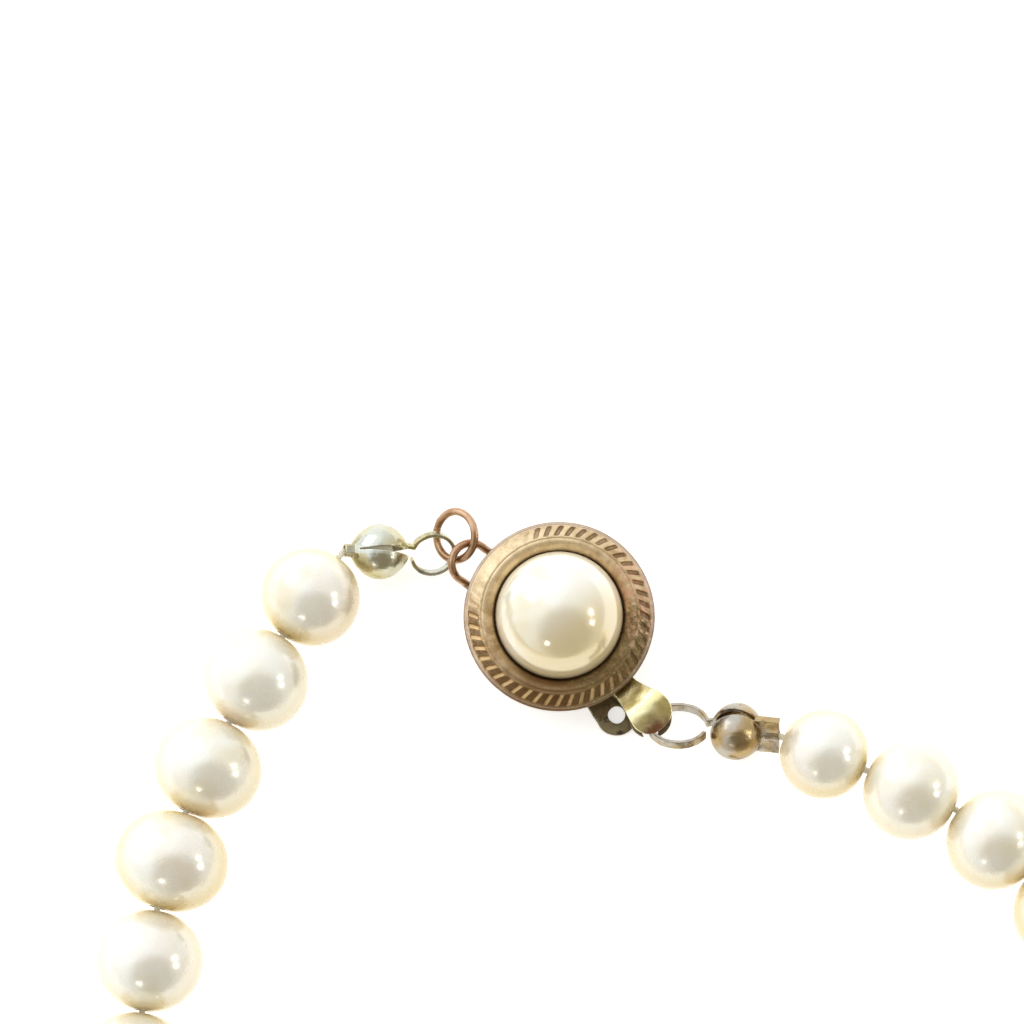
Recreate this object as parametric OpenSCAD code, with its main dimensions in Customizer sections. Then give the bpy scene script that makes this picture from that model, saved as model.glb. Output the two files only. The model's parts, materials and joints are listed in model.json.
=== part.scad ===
// Single-strand pearl necklace with a round box clasp, lying flat and fastened.
// The origin is the centre of the clasp's back, on the table; +Z is up and the strand hangs towards -Y.

/* [Pearls] */
// Diameter of a typical pearl, measured across its drill hole
pearl_d = 5.96; // [5.9:0.02:6.1]
// Diameter of the drill hole
drill_d = 0.9; // [0.8:0.05:1]
// Space left between neighbouring pearls
pearl_gap = 0.1; // [0.08:0.01:0.14]
// Diameter of the thread
thread_d = 0.36; // [0.3:0.02:0.4]

/* [Clasp] */
// Outer diameter of the bezel
bezel_d = 11; // [10.8:0.1:11.2]
// Diameter of the half pearl set in the bezel
half_pearl_d = 7.4; // [7.2:0.1:7.5]
// Height of the bezel's underside above the table
flange_z = 2.95; // [2.9:0.05:3.1]
// Number of slanted nicks milled round the bezel
nick_count = 48; // [30:1:60]
// Thickness of the box's sheet metal
wall_t = 0.3; // [0.25:0.05:0.35]

/* [Tongue] */
// Direction in which the tongue leaves the box, in degrees from +X
tongue_dir = -47; // [-48:1:-46]
// Width of the tongue inside the box
tongue_w = 2.5; // [2.4:0.1:2.6]
// Thickness of the tongue's sheet
leaf_t = 0.3; // [0.25:0.05:0.3]

/* [Links] */
// Wire diameter of the jump ring and the eyelet
wire_d = 0.46; // [0.4:0.02:0.46]
// Diameter of the jump ring, to the middle of its wire
ring_d = 2.8; // [2.7:0.02:2.82]
// Outer diameter of a bead tip's pair of cups
cup_d = 3; // [2.8:0.1:3.1]
// Thickness of a bead tip's hook strip
strip_t = 0.22; // [0.18:0.02:0.24]

/* [Hidden] */
$fn = 48;

// ---- strand layout ----
// Necks of the two bead tips, where the strand starts and ends
neck_left = [-12.4, 3.95, 2.45];
neck_right = [12.5, -6.8, 2.4];
// Route of the drill holes seen from above, from the left bead tip round to the right one
route = [
    [-12.7, 3.5], [-14.3, 1.1], [-17.6, -3.7], [-20.2, -8.8], [-22.4, -14.1], [-23.4, -20],
    [-24.2, -26], [-26, -40], [-28.5, -55], [-31, -72], [-32, -90], [-32, -108],
    [-29, -126], [-21, -143], [-8, -155], [8, -160], [25, -156], [39, -145],
    [48, -129], [51.5, -111], [51.5, -92], [49.5, -74], [45.5, -56], [40, -40],
    [34.5, -27.5], [31.8, -21.8], [29, -16.8], [25.1, -12.7], [20.2, -9.9], [15.2, -8],
    [12.8, -6.9]
];
start_z = 2.75;
end_z = 2.5;
// Lengths and radii of the pearls next to the clasp, counted from each bead tip
left_lengths = [5.65, 5.85, 5.75, 5.8, 5.9, 5.8];
left_radii = [2.9, 3.13, 3.15, 3.28, 3.08, 3.05];
right_lengths = [5.2, 5.6, 5.65, 5.7, 5.7, 5.65];
right_radii = [2.6, 2.92, 2.95, 3, 3.02, 3];
single_count = 6;
pair_count = 27;
strand_count = pair_count + 2 * single_count;
// Pearls are threaded on six lengths of thread; each number is the first strand node of a length
length_starts = [0, 9, 15, 20, 25, 31, strand_count];
route_steps = 12;

function spline(p, i, t) =
    let (
        last = len(p) - 1,
        a = p[max(i - 1, 0)],
        b = p[i],
        c = p[min(i + 1, last)],
        d = p[min(i + 2, last)]
    )
    0.5 * (2 * b + (c - a) * t + (2 * a - 5 * b + 4 * c - d) * t * t + (3 * b - a - 3 * c + d) * t * t * t);
samples = [
    for (i = [0:len(route) - 2], k = [0:route_steps - 1]) spline(route, i, k / route_steps),
    route[len(route) - 1]
];
steps = [for (i = [1:len(samples) - 1]) norm(samples[i] - samples[i - 1])];
travel = [for (i = 0, s = 0; i < len(samples); s = s + (i < len(steps) ? steps[i] : 0), i = i + 1) s];
x_table = [for (i = [0:len(samples) - 1]) [travel[i], samples[i].x]];
y_table = [for (i = [0:len(samples) - 1]) [travel[i], samples[i].y]];
route_length = travel[len(travel) - 1];

function total(v, i = 0) = i < len(v) ? v[i] + total(v, i + 1) : 0;
function is_left(k) = k < single_count;
function is_right(k) = k >= strand_count - single_count;
function pearls_in(k) = is_left(k) || is_right(k) ? 1 : 2;
function ripple(k) = sin(137 * k);

pair_weights = [for (k = [0:pair_count - 1]) 1 + 0.015 * ripple(k)];
pair_room = route_length - total(left_lengths) - total(right_lengths);
pair_scale = pair_room / total(pair_weights);
lengths = [
    for (k = [0:strand_count - 1])
        is_left(k) ? left_lengths[k]
        : is_right(k) ? right_lengths[strand_count - 1 - k]
        : pair_scale * pair_weights[k - single_count]
];
radii = [
    for (k = [0:strand_count - 1])
        is_left(k) ? left_radii[k]
        : is_right(k) ? right_radii[strand_count - 1 - k]
        : pearl_d / 2 + 0.07 * ripple(2 * k)
];
ends = [for (k = 0, s = 0; k <= strand_count; s = s + (k < strand_count ? lengths[k] : 0), k = k + 1) s];
// Joints between strand nodes, where the thread can bend
bends = [
    for (k = [0:strand_count]) [
        lookup(ends[k], x_table),
        lookup(ends[k], y_table),
        k == 0 ? start_z : k == strand_count ? end_z : (radii[k - 1] + radii[k]) / 2
    ]
];

function flat(p) = [p.x, p.y, 0];
function heading(a, b) = atan2(b.y - a.y, b.x - a.x);
function chord(k) = norm(flat(bends[k + 1]) - flat(bends[k]));
function turn_between(k) =
    k <= 0 || k >= strand_count ? 0
    : acos((flat(bends[k]) - flat(bends[k - 1])) * (flat(bends[k + 1]) - flat(bends[k])) / chord(k - 1) / chord(k));
// Where the strand bends, a pearl is shortened so that its inner shoulder clears the next one
function shoulder(k, turn) =
    let (half = chord(k) / pearls_in(k) / 2)
    half * (1 - cos(turn / 2)) + (radii[k] - half + 0.1) * sin(turn / 2);
function pearl_length(k) =
    chord(k) / pearls_in(k) - pearl_gap - 2 * shoulder(k, max(turn_between(k), turn_between(k + 1)));

// ---- clasp layout ----
bezel_r = bezel_d / 2;
drum_r = 4.6;
floor_t = 0.3;
back_t = 0.35;
collar_r = 4.3;
collar_z = 4;
bed_z = 3.5;
slot_w = tongue_w + 0.5;
slot_z = [1.35, 2.75];
ear_dir = -58;
ear_centre_r = 6.3;
ear_r = 1.2;
ear_hole_d = 1;
leaf_z = 1.5;
fold_r = 3.3;
eye_at = [8.1, -0.4];
eye_w = 0.95;
eye_length = 1.5;
tongue_end_r = 8.95;
fold_gap = 0.08;
tab_w = 1.5;
tab_nose_w = 2.5;
tab_end_r = 8.75;
worn_arc = [100, 175];

// ---- link layout ----
eyelet_dir = 147;
eyelet_half_w = 1.15;
eyelet_bend_r = 6.1;
eyelet_root_z = 1.05;
eyelet_slope = 25;
ring_centre = [-5.97, 4.87, 1.96];
ring_lean = 38.5;
ring_lean_dir = 12;
hook_left = [-7.3, 3.95, 1.15];
hook_left_roll = 36;
hook_left_r = 1.26;
hook_right = [6.88, -6.15, 1.65];
hook_right_roll = -138;
hook_right_r = 1.68;
cup_left_x = 2.1;
cup_right_x = 2.35;
cup_t = 0.22;
cup_left_gape = 4;
cup_right_gape = 7;
knot_r = 0.8;

function node_name(k) =
    is_left(k) ? str("pearl_left_", k + 1)
    : is_right(k) ? str("pearl_right_", strand_count - k)
    : str("pearl_pair_", k - single_count < 9 ? "0" : "", k - single_count + 1);

// ---- shapes ----
module ring_solid(r, d) {
    rotate_extrude()
        translate([r, 0])
            circle(d = d);
}

// Turns +Z to run level from one point towards another
module along(a, b) {
    translate(a)
        rotate([0, 0, heading(a, b)])
            rotate([0, 90, 0])
                children();
}

// One pearl: a rounded body, a little shorter along its drill hole than across it
module pearl_solid(r, length) {
    half = length / 2;
    rotate_extrude()
        intersection() {
            translate([r - half, 0])
                circle(r = half, $fn = 96);
            translate([drill_d / 2, -r])
                square([r, 2 * r]);
        }
}

module strand_pearls(k) {
    step = chord(k) / pearls_in(k);
    start = [bends[k].x, bends[k].y, radii[k]];
    color("ivory")
        along(start, [bends[k + 1].x, bends[k + 1].y, radii[k]])
            for (i = [0:pearls_in(k) - 1])
                translate([0, 0, (i + 0.5) * step])
                    pearl_solid(radii[k], pearl_length(k));
}

// A tube through the given points, one eight-sided ring at each point
module tube(points, d) {
    n = len(points);
    sides = 8;
    function way(i) =
        let (v = points[min(i + 1, n - 1)] - points[max(i - 1, 0)])
        v / norm(v);
    function rim(i) =
        let (side = cross(way(i), [0, 0, 1]), s = side / norm(side), up = cross(s, way(i)))
        [for (j = [0:sides - 1]) points[i] + d / 2 * (cos(360 * j / sides) * s + sin(360 * j / sides) * up)];
    walls = [
        for (i = [0:n - 2], j = [0:sides - 1])
            [i * sides + j, i * sides + (j + 1) % sides,
             (i + 1) * sides + (j + 1) % sides, (i + 1) * sides + j]
    ];
    start_cap = [for (j = [sides - 1:-1:0]) j];
    end_cap = [for (j = [0:sides - 1]) (n - 1) * sides + j];
    polyhedron(points = [for (i = [0:n - 1]) each rim(i)], faces = concat([start_cap], walls, [end_cap]));
}

function shortened(a, b, gap) = a + (b - a) / norm(b - a) * gap;

// A length of thread from one bending place to the next, ending just short of both
module thread(i) {
    end_gap = 0.05;
    first = length_starts[i - 1];
    last = length_starts[i];
    inner = [for (k = [first:last]) bends[k]];
    route_3d = concat(
        i == 1 ? [neck_left] : [],
        inner,
        i == 6 ? [neck_right] : []
    );
    n = len(route_3d);
    trimmed = [
        for (j = [0:n - 1])
            j == 0 ? shortened(route_3d[0], route_3d[1], end_gap)
            : j == n - 1 ? shortened(route_3d[n - 1], route_3d[n - 2], end_gap)
            : route_3d[j]
    ];
    color("whitesmoke")
        tube(trimmed, thread_d);
}

// ---- clasp ----
module clasp_back_plate() {
    color("darkolivegreen")
        linear_extrude(back_t)
            difference() {
                union() {
                    circle(r = drum_r + 0.1, $fn = 96);
                    rotate(ear_dir)
                        translate([0, -ear_r])
                            square([ear_centre_r, 2 * ear_r]);
                    rotate(ear_dir)
                        translate([ear_centre_r, 0])
                            circle(r = ear_r);
                }
                rotate(ear_dir)
                    translate([ear_centre_r, 0])
                        circle(d = ear_hole_d);
            }
}

module clasp_drum() {
    color("peru")
        difference() {
            translate([0, 0, back_t])
                cylinder(r = drum_r, h = flange_z - back_t, $fn = 96);
            cylinder(r = drum_r - wall_t, h = flange_z + 1, $fn = 96);
            rotate(tongue_dir)
                translate([0, -slot_w / 2, slot_z[0]])
                    cube([bezel_r, slot_w, slot_z[1] - slot_z[0]]);
        }
}

// The stamped ring: flat rim, sloping band with slanted nicks, groove and collar round the half pearl
module clasp_bezel() {
    band_in = drum_r + 0.05;
    band_out = bezel_r - 0.2;
    nick_slant = 35;
    color("goldenrod")
        difference() {
            rotate_extrude($fn = 96)
                polygon([
                    [0, flange_z], [bezel_r - 0.05, flange_z], [bezel_r, flange_z + 0.08],
                    [bezel_r - 0.03, flange_z + 0.22], [band_out, flange_z + 0.25],
                    [band_in, flange_z + 0.85], [band_in - 0.12, flange_z + 0.72],
                    [collar_r + 0.12, collar_z - 0.1], [collar_r, collar_z], [collar_r - 0.12, collar_z],
                    [half_pearl_d / 2 + 0.1, bed_z + 0.15], [half_pearl_d / 2 + 0.05, flange_z + floor_t],
                    [0, flange_z + floor_t]
                ]);
            for (turn = [0:360 / nick_count:359])
                if (turn < worn_arc[0] || turn > worn_arc[1])
                    rotate(turn)
                        translate([(band_in + band_out) / 2, 0, flange_z + 0.62])
                            rotate([0, 40, -nick_slant])
                                cube([1, 0.14, 0.2], center = true);
        }
}

module pearl_cement() {
    color("wheat")
        translate([0, 0, flange_z + floor_t])
            cylinder(d = half_pearl_d - 0.2, h = bed_z - flange_z - floor_t);
}

module clasp_half_pearl() {
    color("ivory")
        translate([0, 0, bed_z])
            intersection() {
                sphere(d = half_pearl_d, $fn = 96);
                translate([0, 0, half_pearl_d / 2])
                    cube(half_pearl_d, center = true);
            }
}

// A loop of wire whose two legs are soldered into the drum's wall
module clasp_eyelet() {
    root = drum_r - 0.15;
    leg = (eyelet_bend_r - drum_r + 0.15) / cos(eyelet_slope);
    color("sienna")
        rotate(eyelet_dir)
            translate([root, 0, eyelet_root_z])
                rotate([0, -eyelet_slope, 0]) {
                    for (side = [-1, 1])
                        translate([0, side * eyelet_half_w, 0])
                            rotate([0, 90, 0])
                                cylinder(d = wire_d, h = leg);
                    translate([leg, 0, 0])
                        rotate(-90)
                            rotate_extrude(angle = 180)
                                translate([eyelet_half_w, 0])
                                    circle(d = wire_d);
                }
}

// ---- tongue ----
module tongue_lower_leaf() {
    round_r = tongue_w / 2;
    waist_from = bezel_r - 0.6;
    color("darkkhaki")
        rotate(tongue_dir)
            translate([0, 0, leaf_z]) {
                linear_extrude(leaf_t)
                    difference() {
                        union() {
                            translate([-fold_r, -round_r])
                                square([fold_r + waist_from, tongue_w]);
                            translate([0, -tab_w / 2])
                                square([tongue_end_r - round_r, tab_w]);
                            translate([tongue_end_r - round_r, 0])
                                circle(r = round_r);
                        }
                        translate(eye_at)
                            rotate(-tongue_dir)
                                eye_slot();
                    }
                translate([-fold_r, 0, leaf_t])
                    rotate([90, 0, 0])
                        cylinder(r = leaf_t, h = tongue_w, center = true);
            }
}

// The slot that the right bead tip's hook passes through
module eye_slot() {
    straight = eye_length - eye_w;
    translate([-eye_w / 2, -straight / 2])
        square([eye_w, straight]);
    for (side = [-1, 1])
        translate([0, side * straight / 2])
            circle(d = eye_w);
}

// Height of the spring leaf's underside at a distance from the clasp's centre: a gentle rise out of
// the fold, a step up past the bezel's edge and a nose bent down at the end
function leaf_height(x) =
    let (
        rise = leaf_z + leaf_t + fold_gap + 0.06 * (x + fold_r),
        step_up = 0.8 * smooth((x - bezel_r + 0.3) / 2.1),
        nose_drop = 0.45 * smooth((x - 7.4) / 1.5)
    )
    rise + step_up - nose_drop;
function smooth(t) = let (u = max(0, min(1, t))) u * u * (3 - 2 * u);

// The spring leaf rises from the fold, leaves through the slot and carries the thumb tab
module tongue_spring_leaf() {
    first = -fold_r + leaf_t + fold_gap;
    stations = concat([first, 0], [for (x = [bezel_r - 0.3:0.15:tab_end_r]) x], [tab_end_r + 0.1]);
    under = [for (x = stations) [x, leaf_height(x)]];
    over = [for (i = [len(stations) - 1:-1:0]) [stations[i], leaf_height(stations[i]) + leaf_t]];
    color("khaki")
        rotate(tongue_dir)
            intersection() {
                rotate([90, 0, 0])
                    linear_extrude(2 * tab_nose_w, center = true)
                        polygon(concat(under, over));
                linear_extrude(bezel_r)
                    tab_outline(first);
            }
}

// A strip that flares past the bezel's edge into a wide round nose
module tab_outline(first) {
    nose_corner_r = 1.02;
    flare_end = tab_end_r - nose_corner_r;
    flare = [
        for (t = [0:0.1:1])
            [bezel_r + t * (flare_end - bezel_r), (tab_w + (tab_nose_w - tab_w) * smooth(t)) / 2]
    ];
    lower = concat([[first, -tab_w / 2]], [for (p = flare) [p.x, -p.y]]);
    upper = concat([for (i = [len(flare) - 1:-1:0]) flare[i]], [[first, tab_w / 2]]);
    polygon(concat(lower, upper));
    hull()
        for (side = [-1, 1])
            translate([flare_end, side * (tab_nose_w / 2 - nose_corner_r)])
                circle(r = nose_corner_r);
}

// ---- links and bead tips ----
module jump_ring() {
    color("chocolate")
        translate(ring_centre)
            rotate([0, 0, ring_lean_dir])
                rotate([0, -ring_lean, 0])
                    ring_solid(ring_d / 2, wire_d);
}

// Places a bead tip so that its neck and the middle of its hook meet the two given points
module from_neck(neck, hook, roll) {
    run = norm(flat(hook) - flat(neck));
    drop = neck.z - hook.z;
    translate(neck)
        rotate([0, atan2(drop, run), heading(neck, hook)])
            rotate([roll, 0, 0])
                children();
}

// A folding bead tip along +X: the neck with its flaps, two cups held a little open and the strip hook,
// which may be turned about the tip's axis from the cups
module bead_tip(neck_x, cup_x, hook_x, hook_r, strip_w, flap_w, cup_turn, gape) {
    neck_d = 0.8;
    neck_length = cup_x - cup_d / 2 + 2 * cup_t - neck_x;
    flap_t = 0.5;
    free_end = -162;
    root_end = 162;
    mid_r = hook_r - strip_t / 2;
    ring_end = [hook_x + hook_r * cos(root_end), hook_r * sin(root_end)];
    root = [cup_x + cup_d / 2 - 0.75 * strip_t, (cup_x + cup_d / 2) * tan(gape) + 0.2];
    difference() {
        union() {
            rotate([cup_turn, 0, 0]) {
                for (side = [-1, 1])
                    translate([neck_d / 2, 0, 0])
                        rotate(side * gape)
                            translate([cup_x - neck_d / 2, 0, 0])
                                rotate([-90 * side, 0, 0])
                                    cup();
                translate([neck_x, -flap_t / 2, -flap_w / 2])
                    cube([neck_length, flap_t, flap_w]);
            }
            translate([neck_x, 0, 0])
                rotate([0, 90, 0])
                    cylinder(d = neck_d, h = neck_length);
            translate([hook_x, 0, -strip_w / 2])
                rotate(free_end)
                    rotate_extrude(angle = root_end - free_end)
                        translate([mid_r, 0])
                            square([strip_t, strip_w]);
            hull()
                for (end = [ring_end, root])
                    translate([end.x, end.y, -strip_w / 2])
                        cylinder(d = strip_t, h = strip_w);
        }
        translate([-1, 0, 0])
            rotate([0, 90, 0])
                cylinder(d = thread_d + 0.24, h = cup_x + 1);
    }
}

// One of the two cups, half of a hollow ball
module cup() {
    rotate_extrude()
        difference() {
            circle(d = cup_d);
            circle(d = cup_d - 2 * cup_t);
            translate([-cup_d, -cup_d / 2])
                square(cup_d);
            translate([0, -cup_d])
                square(cup_d);
        }
}

module bead_tip_left() {
    color("silver")
        from_neck(neck_left, hook_left, hook_left_roll)
            bead_tip(
                0, cup_left_x, norm(hook_left - neck_left), hook_left_r, 0.46, 1.1,
                -hook_left_roll, cup_left_gape
            );
}

module bead_tip_right() {
    color("lightsteelblue")
        from_neck(neck_right, hook_right, hook_right_roll)
            bead_tip(
                -0.15, cup_right_x, norm(hook_right - neck_right), hook_right_r, 0.5, 2.3,
                0, cup_right_gape
            );
}

// The thread's end: a knot inside the cups and the short piece that runs out through the neck
module knot(neck, hook, cup_x) {
    stub_gap = 0.12;
    color("whitesmoke")
        from_neck(neck, hook, 0)
            union() {
                translate([cup_x, 0, 0])
                    sphere(r = knot_r);
                translate([stub_gap, 0, 0])
                    rotate([0, 90, 0])
                        cylinder(d = thread_d, h = cup_x - stub_gap);
            }
}

clasp_back_plate();
clasp_drum();
clasp_bezel();
clasp_half_pearl();
pearl_cement();
clasp_eyelet();
tongue_lower_leaf();
tongue_spring_leaf();
jump_ring();
bead_tip_left();
bead_tip_right();
knot(neck_left, hook_left, cup_left_x);  // knot_left
knot(neck_right, hook_right, cup_right_x);  // knot_right
for (i = [1:6])
    thread(i);
for (k = [0:strand_count - 1])
    strand_pearls(k);
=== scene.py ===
import json
import math
import random

import bpy
import numpy as np
from mathutils import Matrix, Vector, noise


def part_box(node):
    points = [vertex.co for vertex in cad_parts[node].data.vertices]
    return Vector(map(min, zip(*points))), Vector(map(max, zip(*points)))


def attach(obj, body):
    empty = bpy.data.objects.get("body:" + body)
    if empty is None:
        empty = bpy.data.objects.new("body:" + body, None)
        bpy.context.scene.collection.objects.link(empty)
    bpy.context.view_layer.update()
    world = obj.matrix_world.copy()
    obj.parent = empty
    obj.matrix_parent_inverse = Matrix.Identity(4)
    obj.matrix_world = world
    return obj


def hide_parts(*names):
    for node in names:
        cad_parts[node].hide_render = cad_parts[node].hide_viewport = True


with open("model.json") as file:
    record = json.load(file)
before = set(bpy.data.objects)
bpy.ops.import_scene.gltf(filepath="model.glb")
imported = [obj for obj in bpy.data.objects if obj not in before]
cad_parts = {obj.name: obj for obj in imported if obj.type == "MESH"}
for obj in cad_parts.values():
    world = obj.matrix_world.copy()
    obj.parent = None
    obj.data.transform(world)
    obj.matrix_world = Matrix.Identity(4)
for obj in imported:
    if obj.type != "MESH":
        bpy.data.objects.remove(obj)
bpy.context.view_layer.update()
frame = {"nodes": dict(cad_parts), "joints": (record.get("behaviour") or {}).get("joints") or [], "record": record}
nodes = frame["nodes"]
record = frame["record"]
body_of = {n: b for b, members in record["behaviour"]["bodies"].items() for n in members}
joints = {j["name"]: j for j in frame["joints"]}
MM = 0.001

# Measures of the CAD part that its visual pieces take up again, in millimetres.
DRILL_RADIUS = 0.45
HALF_PEARL_RADIUS = 3.69
HALF_PEARL_BASE = 3.5
BEZEL_UNDERSIDE = 2.95
JUMP_RING_RADIUS = 1.4
JUMP_RING_WIRE = 0.229
LEFT_NECK = (-12.4, 3.95, 2.45)
LEFT_HOOK = (-7.3, 3.95, 1.15)
LEFT_CUPS_FROM_NECK = 2.1


# ---- mesh helpers: every shape is worked out in millimetres and stored in metres ----

def make_object(name, points, faces, attributes=None):
    """A smooth-shaded mesh object; attributes holds one number for each point, under a name."""
    mesh = bpy.data.meshes.new(name)
    mesh.from_pydata((np.asarray(points, float) * MM).tolist(), [], faces)
    mesh.update()
    mesh.polygons.foreach_set("use_smooth", [True] * len(mesh.polygons))
    for key, values in (attributes or {}).items():
        layer = mesh.attributes.new(key, "FLOAT", "POINT")
        layer.data.foreach_set("value", np.asarray(values, np.float32))
    obj = bpy.data.objects.new(name, mesh)
    bpy.context.scene.collection.objects.link(obj)
    return obj


def place(obj, node, material):
    """Stands in for a CAD node, on its body, with its material slot."""
    obj.data.materials.clear()
    obj.data.materials.append(material)
    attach(obj, body_of[node])
    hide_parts(node)
    return obj


def ring_faces(rings, sides, close=True):
    """Quads between successive rings of points; close joins the last ring to the first."""
    faces = []
    for i in range(rings if close else rings - 1):
        a, b = i * sides, ((i + 1) % rings) * sides
        faces += [(a + j, a + (j + 1) % sides, b + (j + 1) % sides, b + j) for j in range(sides)]
    return faces


def unit_vector(direction):
    """The same direction with a length of 1."""
    direction = np.array(direction, float)
    return direction / np.linalg.norm(direction)


def smoothstep(lo, hi, x):
    """Rises smoothly from 0 at lo to 1 at hi."""
    u = np.clip((np.asarray(x, float) - lo) / (hi - lo), 0, 1)
    return u * u * (3 - 2 * u)


def finished_copy(node, voxel, rounds, roughen, shape=None):
    """A copy of a CAD node with its edges worn round and its faces very slightly uneven."""
    mesh = nodes[node].data.copy()
    mesh.transform(Matrix.Scale(1 / MM, 4))
    work = bpy.data.objects.new("work", mesh)
    bpy.context.scene.collection.objects.link(work)
    remesh = work.modifiers.new("remesh", "REMESH")
    remesh.mode = "VOXEL"
    remesh.voxel_size = voxel
    smooth = work.modifiers.new("smooth", "SMOOTH")
    smooth.factor = 0.5
    smooth.iterations = rounds
    graph = bpy.context.evaluated_depsgraph_get()
    done = bpy.data.meshes.new_from_object(work.evaluated_get(graph), depsgraph=graph)
    bpy.data.objects.remove(work)
    count = len(done.vertices)
    co = np.empty(count * 3, np.float32)
    no = np.empty(count * 3, np.float32)
    done.vertices.foreach_get("co", co)
    done.vertices.foreach_get("normal", no)
    co, no = co.reshape(-1, 3), no.reshape(-1, 3)
    push = np.array([noise.noise(Vector(p) * 2) for p in co.tolist()])
    co += no * (push * roughen)[:, None]
    if shape:
        co = shape(co)
    done.vertices.foreach_set("co", (co * MM).ravel())
    done.update()
    done.polygons.foreach_set("use_smooth", [True] * len(done.polygons))
    obj = bpy.data.objects.new(node + "_finished", done)
    bpy.context.scene.collection.objects.link(obj)
    return obj


# ---- node material helpers ----

def rgb(r, g, b):
    """Linear colour from an sRGB one given as 0 to 255."""
    def linear(v):
        v /= 255
        return v / 12.92 if v <= 0.04045 else ((v + 0.055) / 1.055) ** 2.4
    return (linear(r), linear(g), linear(b), 1.0)


def put(tree, socket, value):
    """Links a node's output to the socket, or sets the socket to a plain value."""
    if isinstance(value, bpy.types.NodeSocket):
        tree.links.new(value, socket)
    else:
        socket.default_value = value


def mixed(tree, factor, a, b):
    """Colour a turned into colour b by the factor. Sockets 6 and 7 of the node are its two colours."""
    n = tree.nodes.new("ShaderNodeMix")
    n.data_type = "RGBA"
    put(tree, n.inputs[0], factor)
    put(tree, n.inputs[6], a)
    put(tree, n.inputs[7], b)
    return n.outputs[2]


class Finish:
    """A material under construction. Lengths in its textures are millimetres of the object."""

    def __init__(self, name):
        self.material = bpy.data.materials.new(name)
        self.material.use_nodes = True
        self.tree = self.material.node_tree
        self.shader = self.tree.nodes["Principled BSDF"]
        coordinates = self.tree.nodes.new("ShaderNodeTexCoord")
        scaled = self.tree.nodes.new("ShaderNodeVectorMath")
        scaled.operation = "SCALE"
        scaled.inputs["Scale"].default_value = 1 / MM
        self.tree.links.new(coordinates.outputs["Object"], scaled.inputs[0])
        self.where = scaled.outputs[0]

    def put(self, socket, value):
        put(self.tree, socket, value)

    def set(self, **values):
        """Sets inputs of the surface shader, named with underscores for spaces."""
        for key, value in values.items():
            self.put(self.shader.inputs[key.replace("_", " ")], value)

    def noise(self, scale, detail=3.0, rough=0.55, twist=0.0):
        n = self.tree.nodes.new("ShaderNodeTexNoise")
        self.put(n.inputs["Vector"], self.where)
        n.inputs["Scale"].default_value = scale
        n.inputs["Detail"].default_value = detail
        n.inputs["Roughness"].default_value = rough
        n.inputs["Distortion"].default_value = twist
        return n.outputs["Fac"]

    def cells(self, scale):
        """Distance to the nearest of many scattered points."""
        n = self.tree.nodes.new("ShaderNodeTexVoronoi")
        self.put(n.inputs["Vector"], self.where)
        n.inputs["Scale"].default_value = scale
        return n.outputs["Distance"]

    def math(self, operation, a, b=0.0):
        n = self.tree.nodes.new("ShaderNodeMath")
        n.operation = operation
        self.put(n.inputs[0], a)
        self.put(n.inputs[1], b)
        return n.outputs[0]

    def span(self, value, lo, hi, out_lo=0.0, out_hi=1.0):
        """Smooth step from out_lo at lo to out_hi at hi."""
        n = self.tree.nodes.new("ShaderNodeMapRange")
        n.interpolation_type = "SMOOTHSTEP"
        self.put(n.inputs["Value"], value)
        for key, number in (("From Min", lo), ("From Max", hi), ("To Min", out_lo), ("To Max", out_hi)):
            n.inputs[key].default_value = number
        return n.outputs["Result"]

    def mix(self, factor, a, b):
        return mixed(self.tree, factor, a, b)

    def attribute(self, name):
        """A number stored on the mesh's points."""
        n = self.tree.nodes.new("ShaderNodeAttribute")
        n.attribute_name = name
        return n.outputs["Fac"]

    def facing(self, degrees):
        """How far the point lies towards a direction from the origin, -1 to 1, seen along Z."""
        flat = self.tree.nodes.new("ShaderNodeVectorMath")
        flat.operation = "MULTIPLY"
        self.put(flat.inputs[0], self.where)
        flat.inputs[1].default_value = (1, 1, 0)
        unit = self.tree.nodes.new("ShaderNodeVectorMath")
        unit.operation = "NORMALIZE"
        self.tree.links.new(flat.outputs[0], unit.inputs[0])
        dot = self.tree.nodes.new("ShaderNodeVectorMath")
        dot.operation = "DOT_PRODUCT"
        self.tree.links.new(unit.outputs[0], dot.inputs[0])
        angle = math.radians(degrees)
        dot.inputs[1].default_value = (math.cos(angle), math.sin(angle), 0)
        return dot.outputs["Value"]

    def bump(self, height, depth, below=None):
        """depth in millimetres; below is an earlier bump's normal."""
        n = self.tree.nodes.new("ShaderNodeBump")
        n.inputs["Distance"].default_value = depth * MM
        self.put(n.inputs["Height"], height)
        if below is not None:
            self.put(n.inputs["Normal"], below)
        return n.outputs["Normal"]


# ---- materials ----

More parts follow.
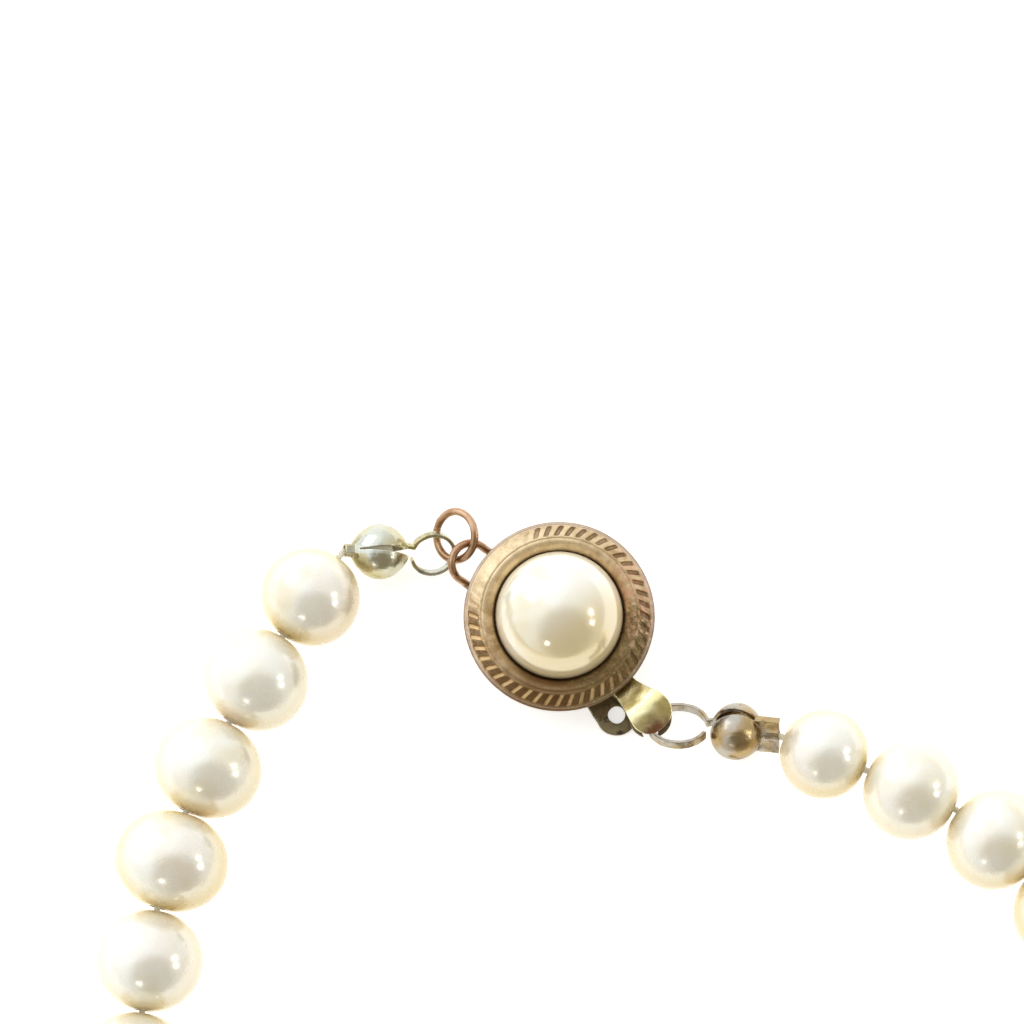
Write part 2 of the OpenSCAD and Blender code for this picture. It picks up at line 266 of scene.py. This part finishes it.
def nacre(name, yellow, relief, gloss=0.0):
    """Cultured pearl: cream nacre with a few dark pits, yellower in patches and at the holes, and yellower still
    where painted shade is put on the side away from the light.
    """
    f = Finish(name)
    patches = f.span(f.noise(0.32, 2.0), 0.42, 0.68)
    ends = f.math("MULTIPLY", f.attribute("ends"), 0.6)
    # The mesh's second mark is painted shade: it yellows the side of the pearl turned from the light.
    tint = f.math("MAXIMUM", f.math("MULTIPLY", patches, 0.5), f.math("MAXIMUM", ends, f.attribute("painted_shade_tint")))
    tint = f.math("MULTIPLY", tint, yellow)
    body = f.mix(tint, rgb(248, 246, 234), rgb(232, 212, 158))
    rosy = f.span(f.noise(0.21, 1.0), 0.5, 0.66, 0.0, 0.3)
    body = f.mix(rosy, body, rgb(244, 228, 214))
    pits = f.span(f.cells(0.62), 0.0, 0.045, 1.0, 0.0)
    spots = f.math("MULTIPLY", pits, f.span(f.noise(0.45, 0.0), 0.5, 0.56))
    body = f.mix(spots, body, rgb(92, 72, 44))
    bands = f.noise(1.6, 3.0, 0.5, 0.6)
    fine = f.noise(9.0, 3.0)
    normal = f.bump(bands, relief)
    normal = f.bump(fine, relief / 16, normal)
    normal = f.bump(f.math("SUBTRACT", 1.0, spots), 0.02, normal)
    f.set(
        Base_Color=body,
        Metallic=0.3,
        Roughness=f.span(f.noise(0.8, 2.0), 0.35, 0.7, 0.2 - gloss, 0.3 - gloss),
        IOR=1.55,
        Normal=normal,
        Subsurface_Weight=0.1,
        Subsurface_Radius=(1.0, 0.8, 0.5),
        Subsurface_Scale=0.0006,
        Coat_Weight=0.35,
        Coat_Roughness=0.08,
        Coat_IOR=1.5,
    )
    return f.material


def bezel_gilt():
    """Rose-gilt stamping: lighter at the upper left, partly worn and partly painted highlight; coppery on the
    right; corroded at the lower right. Painted shade darkens the bottom and the hollows, and painted highlight
    lights the nicks at the lower left.
    """
    f = Finish("bezel_gilt_worn")
    mottle = f.noise(1.3, 4.0, 0.6)
    grain = f.noise(14.0, 3.0, 0.65)
    metal = f.mix(f.span(mottle, 0.38, 0.62), rgb(220, 194, 154), rgb(180, 151, 112))
    # Lighter towards the upper left: partly worn gilt, partly painted highlight from the light on that side.
    rubbed_and_lit = f.math("MULTIPLY", f.span(f.facing(118), 0.3, 0.9), f.span(mottle, 0.3, 0.7, 0.95, 0.6))
    metal = f.mix(rubbed_and_lit, metal, rgb(228, 206, 166))
    smears = f.math("MULTIPLY", f.span(f.noise(2.6, 5.0, 0.7, 1.5), 0.54, 0.7), 0.45)
    metal = f.mix(smears, metal, rgb(150, 118, 80))
    copper = f.math("MULTIPLY", f.span(f.facing(10), 0.8, 0.98), f.span(f.noise(2.2, 3.0), 0.36, 0.6))
    metal = f.mix(copper, metal, rgb(214, 170, 138))
    shaded = f.math("MULTIPLY", f.span(f.facing(-80), 0.25, 0.9), 0.9)
    metal = f.mix(shaded, metal, rgb(134, 106, 72))
    lower_right = f.span(f.facing(-35), 0.5, 0.92)
    corroded = f.math("MULTIPLY", lower_right, f.span(f.noise(3.2, 5.0, 0.7), 0.38, 0.62))
    metal = f.mix(corroded, metal, rgb(124, 104, 62))
    green = f.math("MULTIPLY", corroded, f.span(f.noise(6.5, 2.0), 0.52, 0.66, 0.0, 0.6))
    metal = f.mix(green, metal, rgb(176, 170, 104))
    # The rolled rim is lighter: partly rubbed wear, partly painted highlight.
    metal = f.mix(f.math("MULTIPLY", f.attribute("edge"), 0.6), metal, rgb(222, 202, 186))
    # Painted highlight: the nicks at the lower left are coloured lighter where the light catches them.
    metal = f.mix(f.math("MULTIPLY", f.attribute("bright"), 0.8), metal, rgb(236, 206, 154))
    # Painted shade from the hollow mark: darker in the nicks, the groove, by the half pearl and underneath, broken
    # up by grain.
    painted_hollow_shade = f.math("MULTIPLY", f.attribute("hollow"), f.span(grain, 0.25, 0.75, 0.6, 1.0))
    metal = f.mix(painted_hollow_shade, metal, rgb(96, 68, 38))
    points = f.span(f.cells(5.5), 0.0, 0.11, 1.0, 0.0)
    specks = f.math("MULTIPLY", points, f.span(f.noise(1.9, 1.0), 0.52, 0.6))
    metal = f.mix(f.math("MULTIPLY", specks, 0.6), metal, rgb(112, 82, 50))
    rough = f.math("MAXIMUM", f.span(mottle, 0.3, 0.7, 0.38, 0.5), f.math("MULTIPLY", corroded, 0.62))
    normal = f.bump(mottle, 0.03)
    normal = f.bump(grain, 0.012, normal)
    normal = f.bump(f.math("MULTIPLY", corroded, f.noise(7.0, 4.0, 0.75)), 0.06, normal)
    f.set(Base_Color=metal, Metallic=f.span(corroded, 0.0, 1.0, 1.0, 0.55), Roughness=rough, Normal=normal)
    return f.material


def worn_metal(name, light, mid, dark, scale, level, rough, relief=0.012, soft=0.13, tip=None):
    """Plated metal whose plating has gone in patches, and round the point tip where one is given.

    A higher scale makes the patches smaller, a higher level makes them fewer, and soft is how gradual
    their edges are. rough is the roughness of the plating and of the bare metal.
    """
    f = Finish(name)
    patch = f.noise(scale, 4.0, 0.6, 0.4)
    cloud = f.noise(scale * 0.45, 2.0, 0.5)
    grain = f.noise(18.0, 3.0, 0.6)
    colour = f.mix(f.span(cloud, 0.38, 0.64), light, mid)
    stain = f.span(patch, level, level + soft)
    if tip:
        away = f.tree.nodes.new("ShaderNodeVectorMath")
        away.operation = "DISTANCE"
        f.put(away.inputs[0], f.where)
        away.inputs[1].default_value = tip
        ragged = f.math("ADD", away.outputs["Value"], f.math("MULTIPLY", patch, 1.2))
        worn = f.span(ragged, 1.3, 2.0, 0.95, 0.0)
        stain = f.math("MAXIMUM", f.math("MULTIPLY", stain, 0.5), worn)
    colour = f.mix(stain, colour, dark)
    flecks = f.span(grain, 0.62, 0.78, 0.0, 0.3)
    colour = f.mix(flecks, colour, mid)
    normal = f.bump(patch, relief)
    normal = f.bump(grain, 0.004, normal)
    f.set(
        Base_Color=colour,
        Metallic=f.span(stain, 0.0, 1.0, 1.0, 0.8),
        Roughness=f.span(f.math("ADD", patch, f.math("MULTIPLY", stain, 0.4)), 0.3, 0.9, *rough),
        Normal=normal,
    )
    return f.material


def silk():
    """Twisted thread: fine slanting strands, a little soiled. Its faint glow is painted light: it stands in for
    translucency and lifts the thread out of the shade between the pearls.
    """
    f = Finish("thread_silk")
    wave = f.tree.nodes.new("ShaderNodeTexWave")
    f.put(wave.inputs["Vector"], f.where)
    wave.bands_direction = "DIAGONAL"
    wave.inputs["Scale"].default_value = 4.5
    wave.inputs["Distortion"].default_value = 1.5
    strands = wave.outputs["Fac"]
    colour = f.mix(strands, rgb(196, 186, 158), rgb(232, 226, 206))
    colour = f.mix(f.span(f.noise(0.9, 3.0), 0.5, 0.7, 0.0, 0.6), colour, rgb(186, 164, 118))
    f.set(
        Base_Color=colour,
        Roughness=0.75,
        Sheen_Weight=0.35,
        Normal=f.bump(strands, 0.03),
        # Painted light: a faint glow that keeps the thread from going dark in the shade between the pearls.
        Emission_Color=colour,
        Emission_Strength=0.3,
    )
    return f.material


def cement():
    """Set pearl cement, lumpy and yellowish."""
    f = Finish("cement_set")
    lumps = f.noise(2.4, 4.0)
    f.set(
        Base_Color=f.mix(lumps, rgb(196, 170, 120), rgb(224, 206, 164)),
        Roughness=0.7,
        Normal=f.bump(lumps, 0.03),
    )
    return f.material


pearl_finishes = [
    nacre("nacre_cream", 0.75, 0.014),
    nacre("nacre_warm", 1.0, 0.02),
    nacre("nacre_pale", 0.55, 0.01),
]
half_pearl_finish = nacre("nacre_half", 1.0, 0.005, 0.09)
gilt = bezel_gilt()
box_brass = worn_metal(
    "box_brass_dull", rgb(140, 128, 100), rgb(118, 104, 78), rgb(82, 72, 52),
    scale=1.6, level=0.5, rough=(0.34, 0.55), relief=0.02,
)
copper = worn_metal(
    "copper_wire_worn", rgb(204, 170, 138), rgb(174, 136, 104), rgb(112, 84, 62),
    scale=1.8, level=0.56, rough=(0.26, 0.4),
)
tongue_gilt = worn_metal(
    "tongue_gilt_worn", rgb(246, 238, 188), rgb(232, 218, 154), rgb(124, 76, 52),
    scale=1.1, level=0.6, rough=(0.22, 0.36), tip=(5.7, -7.0, 3.0),
)
tip_left_silver = worn_metal(
    "tip_silver_green", rgb(206, 208, 196), rgb(198, 188, 142), rgb(126, 118, 88),
    scale=0.8, level=0.52, rough=(0.2, 0.36), soft=0.2,
)
tip_right_silver = worn_metal(
    "tip_silver_brown", rgb(178, 172, 160), rgb(176, 152, 108), rgb(118, 92, 60),
    scale=1.2, level=0.52, rough=(0.2, 0.38), soft=0.2,
)
thread_finish = silk()
cement_finish = cement()


# ---- pearls ----

# How far the drill hole's worn lip reaches out from the hole.
LIP = 0.07


def lumps_on_ball(rnd, points, waves):
    """Smooth lumps over a ball round the origin: a sum of sines, each with a reach and a weight."""
    unit = points / np.linalg.norm(points, axis=1)[:, None]
    lump = np.zeros(len(points))
    for reach, weight in waves:
        d = np.array([rnd.gauss(0, 1) for _ in range(3)])
        d *= reach / np.linalg.norm(d)
        lump += weight * np.sin(unit @ d * 2 + rnd.uniform(0, 6.28))
    return lump


def pearl_shape(centre, axis, radius, half, rings, sides, seed):
    """One drilled pearl: the CAD outline, slightly lopsided, with a worn lip at each end of its hole.

    axis is the unit vector along the hole, and half the pearl's half length along it. Returns the points,
    the faces, how near each point is to a hole, and how far it is on the underside, where painted shade makes it
    yellower.
    """
    rnd = random.Random(seed)
    up = np.array([0, 0, 1.0])
    side = unit_vector(np.cross(up, axis))
    hole = DRILL_RADIUS
    offset = radius - half
    start = math.asin((hole + LIP - offset) / half)
    turn = np.linspace(start, math.pi - start, rings)
    along = half * np.cos(turn)
    out = offset + half * np.sin(turn)
    bore_x = along[0] - np.array([0.9, 0.28, 0.09, 0.025])
    bore_r = hole + np.array([0.0, 0.0, 0.006, 0.028])
    profile_x = np.concatenate([bore_x, along, -bore_x[::-1]])
    profile_r = np.concatenate([bore_r, out, bore_r[::-1]])
    angle = np.linspace(0, 2 * math.pi, sides, endpoint=False)
    around = np.cos(angle)[:, None] * side + np.sin(angle)[:, None] * up
    points = (profile_x[:, None, None] * axis + profile_r[:, None, None] * around[None]).reshape(-1, 3)
    waves = []
    for reach, weight in ((1.1, 0.5), (1.7, 0.32), (2.6, 0.18)):
        waves += [(reach, weight / 3)] * 3
    lump = np.clip(0.5 + lumps_on_ball(rnd, points, waves), 0, 1)
    away_from_hole = smoothstep(hole + 0.3, hole + 1.9, np.repeat(profile_r, sides))
    points *= (1 - rnd.uniform(0.012, 0.026) * lump * away_from_hole)[:, None]
    ends = np.clip(np.abs(np.repeat(profile_x, sides)) / half, 0, 1) ** 3.2
    ends *= rnd.uniform(0.55, 1.0)
    # Painted shade: the underside is marked to be yellower, as shade would tint it.
    painted_shade_tint = 0.95 * smoothstep(-0.84, -0.3, -points[:, 2] / radius)
    return points + centre, ring_faces(len(profile_x), sides), ends, painted_shade_tint


def add_pearls(node, index):
    """The pearl or the pair of pearls of one strand node, turned about its drill hole."""
    joint = joints[node + "_spin"]
    middle = np.array(joint["pos_m"]) / MM
    axis = unit_vector(joint["axis"])
    lo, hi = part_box(node)
    radius = (hi.z - lo.z) / MM / 2
    middle[2] = (hi.z + lo.z) / MM / 2
    co = np.empty(len(nodes[node].data.vertices) * 3, np.float32)
    nodes[node].data.vertices.foreach_get("co", co)
    reach = (co.reshape(-1, 3) / MM - middle) @ axis
    single = "pair" not in node
    groups = [reach] if single else [reach[reach < 0], reach[reach > 0]]
    rings, sides = (84, 120) if single else (40, 56)
    points, faces, ends, painted_shade_tint = [], [], [], []
    for i, group in enumerate(groups):
        half = (group.max() - group.min()) / 2
        centre = middle + axis * (group.max() + group.min()) / 2
        pearl = pearl_shape(centre, axis, radius, half, rings, sides, 100 * index + i)
        base = sum(len(x) for x in points)
        points.append(pearl[0])
        faces += [tuple(base + corner for corner in face) for face in pearl[1]]
        ends.append(pearl[2])
        painted_shade_tint.append(pearl[3])
    marks = {"ends": np.concatenate(ends), "painted_shade_tint": np.concatenate(painted_shade_tint)}
    obj = make_object(node + "_nacre", np.concatenate(points), faces, marks)
    place(obj, node, pearl_finishes[(index * 7) % len(pearl_finishes)])


strand = sorted(n for n in nodes if n.startswith("pearl_") and n != "pearl_cement")
for index, name in enumerate(strand, start=1):
    add_pearls(name, index)


# ---- bezel ----

NICKS = 48
NICK_SLANT = math.radians(29)
NICK_DEPTH = 0.19
GROOVE_RADIUS = 4.47
GROOVE_DEPTH = 0.016
# Radius and height along the ring's section, from its inner lip to its rolled edge.
BEZEL_SECTION = [
    (3.72, 3.25), (3.735, 3.46), (3.77, 3.55), (3.85, 3.63), (4.0, 3.72), (4.12, 3.775), (4.24, 3.81),
    (4.34, 3.82), (4.42, 3.81), (4.47, 3.79), (4.52, 3.8), (4.6, 3.795), (4.68, 3.755), (4.95, 3.58),
    (5.15, 3.42), (5.27, 3.3), (5.31, 3.265), (5.35, 3.28), (5.42, 3.275), (5.47, 3.24), (5.495, 3.18),
]
# The same for the plain rest of it: the outer edge, the flat underside and the hidden wall back to the lip.
BEZEL_UNDER = [
    (5.5, 3.12), (5.497, 3.05), (5.48, 2.985), (5.44, 2.955),
    (5.36, BEZEL_UNDERSIDE), (4.9, BEZEL_UNDERSIDE), (4.2, BEZEL_UNDERSIDE), (3.2, BEZEL_UNDERSIDE),
    (3.2, 3.25), (3.6, 3.25),
]


def bezel_height(r, turn, depth):
    """Height of the stamped ring at radius r and direction turn, and how far it is nick, rib and groove."""
    z = np.interp(r, *zip(*BEZEL_SECTION))
    phase = (turn + math.tan(NICK_SLANT) * np.log(r / 5.0)) * NICKS / (2 * math.pi)
    cell = np.floor(phase + 0.5).astype(int)
    s = phase - cell
    cut = smoothstep(-0.32, -0.16, s) * (1 - smoothstep(0.08, 0.26, s))
    degrees = np.degrees(turn) % 360
    worn = smoothstep(100, 116, degrees) * (1 - smoothstep(164, 182, degrees))
    nicked = smoothstep(4.56, 4.7, r) * (1 - smoothstep(5.16, 5.29, r))
    hollow = cut * nicked * (1 - 0.93 * worn)
    rib = (1 - cut) * nicked * (1 - worn)
    groove = np.exp(-((r - GROOVE_RADIUS) / 0.04) ** 2) * (1 - 0.6 * worn)
    z = z - NICK_DEPTH * depth[cell % NICKS] * hollow - GROOVE_DEPTH * groove
    return z, hollow, rib, groove


def noise_over_ring(x, y, scale, layer):
    """Smooth noise at each point of a grid seen from above; layer picks another pattern."""
    values = [noise.noise(Vector((a * scale, b * scale, layer))) for a, b in zip(x.ravel(), y.ravel())]
    return np.array(values).reshape(x.shape)


def towards(degrees, turn):
    """1 in that direction from the clasp's centre, falling to -1 in the opposite one."""
    return np.cos(turn - math.radians(degrees))


def add_bezel():
    """The stamped ring: slanted nicks, worn away at the upper left and shallower at the lower right."""
    rnd = random.Random(46)
    depth = np.array([rnd.uniform(0.75, 1.0) for _ in range(NICKS)])
    for i in range(NICKS):
        degrees = i * 360 / NICKS
        if degrees < 24 or degrees > 288:
            depth[i] *= rnd.uniform(0.5, 0.9)
    sides = NICKS * 24
    turn = np.linspace(0, 2 * math.pi, sides, endpoint=False)
    radii = np.concatenate([
        [3.72, 3.728, 3.736, 3.748, 3.762, 3.785],
        np.linspace(3.82, 4.38, 15),
        np.linspace(4.4, 4.6, 11),
        np.linspace(4.63, 5.3, 26),
        np.linspace(5.32, 5.495, 10),
    ])
    rr, tt = np.meshgrid(radii, turn, indexing="ij")
    x, y = rr * np.cos(tt), rr * np.sin(tt)
    z, hollow, rib, groove = bezel_height(rr, tt, depth)
    pitted = smoothstep(0.55, 0.95, towards(-38, tt)) * np.clip(noise_over_ring(x, y, 5, 7), 0, 1)
    z = z + 0.02 * noise_over_ring(x, y, 0.9, 3) - 0.05 * pitted
    rings = list(np.stack([x, y, z], -1))
    for r, height in BEZEL_UNDER:
        rings.append(np.stack([r * np.cos(turn), r * np.sin(turn), np.full(sides, height)], -1))
    faces = [tuple(reversed(face)) for face in ring_faces(len(rings), sides)]

    lower_left = smoothstep(-0.2, 0.7, towards(244, tt))
    # Painted shade, stored as the hollow mark: darker by the half pearl, in the groove, at the outer edge, in the
    # nicks except at the lower left, and on the ribs at the lower left, where the ring turns from the light.
    dark = 0.8 * (1 - smoothstep(3.74, 3.95, rr)) + 0.22 * groove + 0.7 * smoothstep(5.36, 5.48, rr)
    dark = dark + hollow * (0.75 - 0.75 * lower_left) + 0.95 * rib * lower_left
    # The rolled edge is lighter as rubbed gilt, but fades towards the bottom: partly wear, partly painted
    # highlight.
    rolled = smoothstep(5.24, 5.33, rr) * (1 - smoothstep(5.42, 5.48, rr))
    rolled = rolled * (1 - 0.8 * smoothstep(0.3, 0.9, towards(275, tt)))
    # The hidden underside takes a light painted shade too.
    under = np.ones(len(BEZEL_UNDER) * sides)
    marks = {
        "hollow": np.concatenate([np.clip(dark, 0, 1).ravel(), 0.3 * under]),
        "edge": np.concatenate([rolled.ravel(), 0 * under]),
        # Painted highlight on the nicks at the lower left.
        "bright": np.concatenate([(hollow ** 2 * lower_left).ravel(), 0 * under]),
    }
    obj = make_object("clasp_bezel_stamped", np.concatenate(rings), faces, marks)
    place(obj, "clasp_bezel", gilt)


add_bezel()


# ---- half pearl ----

def add_half_pearl():
    """A dome closed by a flat base; the base's edge is drawn in, where the bezel's lip hides it."""
    rnd = random.Random(9)
    sides, rings = 160, 72
    turn = np.linspace(0, 2 * math.pi, sides, endpoint=False)
    tilt = np.linspace(math.pi / 2, 0.02, rings)
    out, up = HALF_PEARL_RADIUS * np.sin(tilt)[:, None], HALF_PEARL_RADIUS * np.cos(tilt)[:, None]
    dome = np.stack([out * np.cos(turn), out * np.sin(turn), up + 0 * turn], -1).reshape(-1, 3)
    lump = lumps_on_ball(rnd, dome, [(0.9, 1 / 3), (1.5, 1 / 3), (2.2, 1 / 3)])
    dome *= (1 - 0.012 * (0.5 + 0.5 * lump))[:, None]
    dome[:, 2] += HALF_PEARL_BASE
    low = np.stack([3.3 * np.cos(turn), 3.3 * np.sin(turn), np.full(sides, HALF_PEARL_BASE)], -1)
    poles = [[0, 0, HALF_PEARL_BASE], [0, 0, dome[-sides:, 2].mean() + 0.0005]]
    points = np.concatenate([low, dome, poles])
    faces = ring_faces(rings + 1, sides, close=False)
    last, bottom, top = rings * sides, len(points) - 2, len(points) - 1
    faces += [(bottom, (j + 1) % sides, j) for j in range(sides)]
    faces += [(top, last + j, last + (j + 1) % sides) for j in range(sides)]
    ends = np.clip(np.hypot(points[:, 0], points[:, 1]) / 3.7, 0, 1) ** 6 * 0.9
    # Painted shade: the half pearl is marked yellower towards the lower right, the side turned from the light.
    painted_shade_tint = 0.75 * smoothstep(-0.4, 0.75, points @ np.array([0.2, -0.3, 0.0]))
    obj = make_object("clasp_half_pearl_nacre", points, faces, {"ends": ends, "painted_shade_tint": painted_shade_tint})
    place(obj, "clasp_half_pearl", half_pearl_finish)


add_half_pearl()


# ---- jump ring ----

def add_jump_ring():
    """A ring of wire, not quite even in thickness, with a fine seam where its ends meet."""
    joint = joints["jump_ring_spin"]
    middle = np.array(joint["pos_m"]) / MM
    axis = unit_vector(joint["axis"])
    u = unit_vector(np.cross([0, 0, 1.0], axis))
    v = np.cross(axis, u)
    around, across = 240, 36
    points = []
    for i in range(around):
        t = 2 * math.pi * i / around
        out = math.cos(t) * u + math.sin(t) * v
        seam = math.exp(-((t - 4.1) / 0.02) ** 2)
        wire = JUMP_RING_WIRE * (1 - 0.03 * (0.5 + 0.5 * math.sin(3 * t + 1)) - 0.1 * seam)
        for j in range(across):
            p = 2 * math.pi * j / across
            points.append(middle + out * (JUMP_RING_RADIUS + wire * math.cos(p)) + axis * wire * math.sin(p))
    faces = [tuple(reversed(face)) for face in ring_faces(around, across)]
    obj = make_object("jump_ring_wire", points, faces)
    place(obj, "jump_ring", copper)


add_jump_ring()


# ---- the other metal parts ----

def pointed_cups(co):
    """The left tip's two cups drawn out to a point at each end, like a clam."""
    neck = np.array(LEFT_NECK)
    way = unit_vector(np.array(LEFT_HOOK) - neck)
    rel = co - (neck + LEFT_CUPS_FROM_NECK * way)
    along = rel @ way
    off = np.linalg.norm(rel - along[:, None] * way, axis=1)
    reach = np.abs(along)
    near_the_end = smoothstep(0.3, 1.5, reach) * (1 - smoothstep(1.5, 2.05, reach))
    pull = 0.26 * np.exp(-(off / 0.85) ** 2) * near_the_end
    return co + (np.sign(along) * pull)[:, None] * way


fine = 0.034
for node, voxel, rounds, roughen, slot, material, shape in (
    ("bead_tip_left", fine, 3, 0.02, "tip_silver", tip_left_silver, pointed_cups),
    ("bead_tip_right", fine, 3, 0.02, "tip_silver", tip_right_silver, None),
    ("tongue_spring_leaf", fine, 5, 0.02, "tongue_gilt", tongue_gilt, None),
    # The lower leaf is of the tab's gilt but takes the darker brass finish: painted shade for where it lies in
    # shade below the tab.
    ("tongue_lower_leaf", fine, 4, 0.015, "tongue_gilt", box_brass, None),
    ("clasp_eyelet", fine, 3, 0.02, "copper_wire", copper, None),
    ("clasp_back_plate", 0.07, 2, 0.02, "box_brass", box_brass, None),
):
    place(finished_copy(node, voxel, rounds, roughen, shape), node, material)

# The drum, the cement, the knots and the thread keep their CAD mesh and only take a finish.
threads = ["knot_left", "knot_right", *[f"thread_{i}" for i in range(1, 7)]]
for name, material in (
    ("clasp_drum", box_brass),
    ("pearl_cement", cement_finish),
    *[(name, thread_finish) for name in threads],
):
    nodes[name].data.materials.clear()
    nodes[name].data.materials.append(material)

# A bevel takes the sharpness off the drum's edges.
bevel = nodes["clasp_drum"].modifiers.new("bevel", "BEVEL")
bevel.width = 0.03 * MM
bevel.segments = 2
bevel.limit_method = "ANGLE"
bevel.angle_limit = math.radians(40)


# ---- stage, lights and camera ----

# The lamps are aimed at this point, in metres.
AIM = Vector((-0.003, 0.0, 0.003))
# The camera looks at this point, in millimetres.
LOOKED_AT = Vector((-2.71, 6.05, 3.3))
# The width that it sees there, and how far off it is, in metres.
WIDTH_SEEN = 0.059
CAMERA_DISTANCE = 0.375


def add_stage():
    """A white paper sheet that glows a little, so that it stays white in shade."""
    half, drop = 900, 0.02
    corners = [(x * half, y * half, -drop) for x, y in ((-1, -1), (1, -1), (1, 1), (-1, 1))]
    floor = make_object("stage_floor", corners, [(0, 1, 2, 3)])
    material = bpy.data.materials.new("stage_white")
    material.use_nodes = True
    shader = material.node_tree.nodes["Principled BSDF"]
    shader.inputs["Base Color"].default_value = (0.9, 0.9, 0.9, 1)
    shader.inputs["Roughness"].default_value = 0.9
    shader.inputs["Specular IOR Level"].default_value = 0.1
    shader.inputs["Emission Color"].default_value = (1, 1, 0.985, 1)
    shader.inputs["Emission Strength"].default_value = 0.6
    floor.data.materials.append(material)


def add_light(name, direction, distance, size, radiance, colour=(1, 1, 1)):
    """A soft box that lies in that direction from the clasp and is aimed at it. Its size is in metres."""
    data = bpy.data.lights.new(name, "AREA")
    data.shape = "RECTANGLE"
    data.size, data.size_y = size
    data.energy = radiance * math.pi * size[0] * size[1]
    data.color = colour
    lamp = bpy.data.objects.new(name, data)
    way = Vector(direction).normalized()
    lamp.location = AIM + way * distance
    lamp.rotation_mode = "QUATERNION"
    lamp.rotation_quaternion = way.to_track_quat("Z", "Y")
    bpy.context.scene.collection.objects.link(lamp)


def add_world():
    """Light from all round: brighter at the upper left, with a bright patch there and a dark one in front."""
    world = bpy.data.worlds.new("studio")
    bpy.context.scene.world = world
    world.use_nodes = True
    tree = world.node_tree
    background = tree.nodes["Background"]
    where = tree.nodes.new("ShaderNodeTexCoord")

    def lobe(direction, lo, hi):
        """Rises from 0 to 1 as the cosine of the angle to the direction goes from lo to hi."""
        dot = tree.nodes.new("ShaderNodeVectorMath")
        dot.operation = "DOT_PRODUCT"
        tree.links.new(where.outputs["Generated"], dot.inputs[0])
        dot.inputs[1].default_value = Vector(direction).normalized()
        step = tree.nodes.new("ShaderNodeMapRange")
        step.interpolation_type = "SMOOTHSTEP"
        tree.links.new(dot.outputs["Value"], step.inputs["Value"])
        step.inputs["From Min"].default_value = lo
        step.inputs["From Max"].default_value = hi
        return step.outputs["Result"]

    side = lobe((-0.72, 0.66, 0.25), -0.8, 0.5)
    colour = mixed(tree, side, (0.78, 0.76, 0.72, 1), (1.08, 1.1, 1.13, 1))
    bright_patch = lobe((-0.62, 0.64, 0.42), 0.54, 0.64)
    colour = mixed(tree, bright_patch, colour, (1.28, 1.33, 1.42, 1))
    dark_patch = lobe((0.2, -0.66, 0.72), 0.52, 0.84)
    colour = mixed(tree, dark_patch, colour, (0.34, 0.29, 0.2, 1))
    tree.links.new(colour, background.inputs["Color"])
    background.inputs["Strength"].default_value = 1.0


def add_camera():
    """A long lens over the clasp, looking down from slightly in front."""
    data = bpy.data.cameras.new("camera")
    camera = bpy.data.objects.new("camera", data)
    bpy.context.scene.collection.objects.link(camera)
    data.sensor_width = 36
    data.lens = data.sensor_width * CAMERA_DISTANCE / WIDTH_SEEN
    height_angle = math.radians(81)
    back = Vector((0, -math.cos(height_angle), math.sin(height_angle)))
    camera.location = LOOKED_AT * MM + back * CAMERA_DISTANCE
    camera.rotation_mode = "QUATERNION"
    camera.rotation_quaternion = (-back).to_track_quat("-Z", "Y")
    data.clip_start, data.clip_end = 0.01, 10
    bpy.context.scene.camera = camera


add_stage()
add_world()
add_light("key_window", (-0.62, 0.58, 0.52), 0.45, (0.3, 0.24), 1.05, (0.95, 0.99, 1.08))
add_light("glint_upper", (0.86, 0.02, 0.52), 0.5, (0.05, 0.05), 16)
add_light("glint_lower", (0.84, -0.24, 0.42), 0.5, (0.04, 0.06), 16)
add_light("glint_front", (-0.32, -0.8, 0.42), 0.5, (0.05, 0.05), 9)
add_camera()
bpy.context.scene.view_settings.view_transform = "Standard"
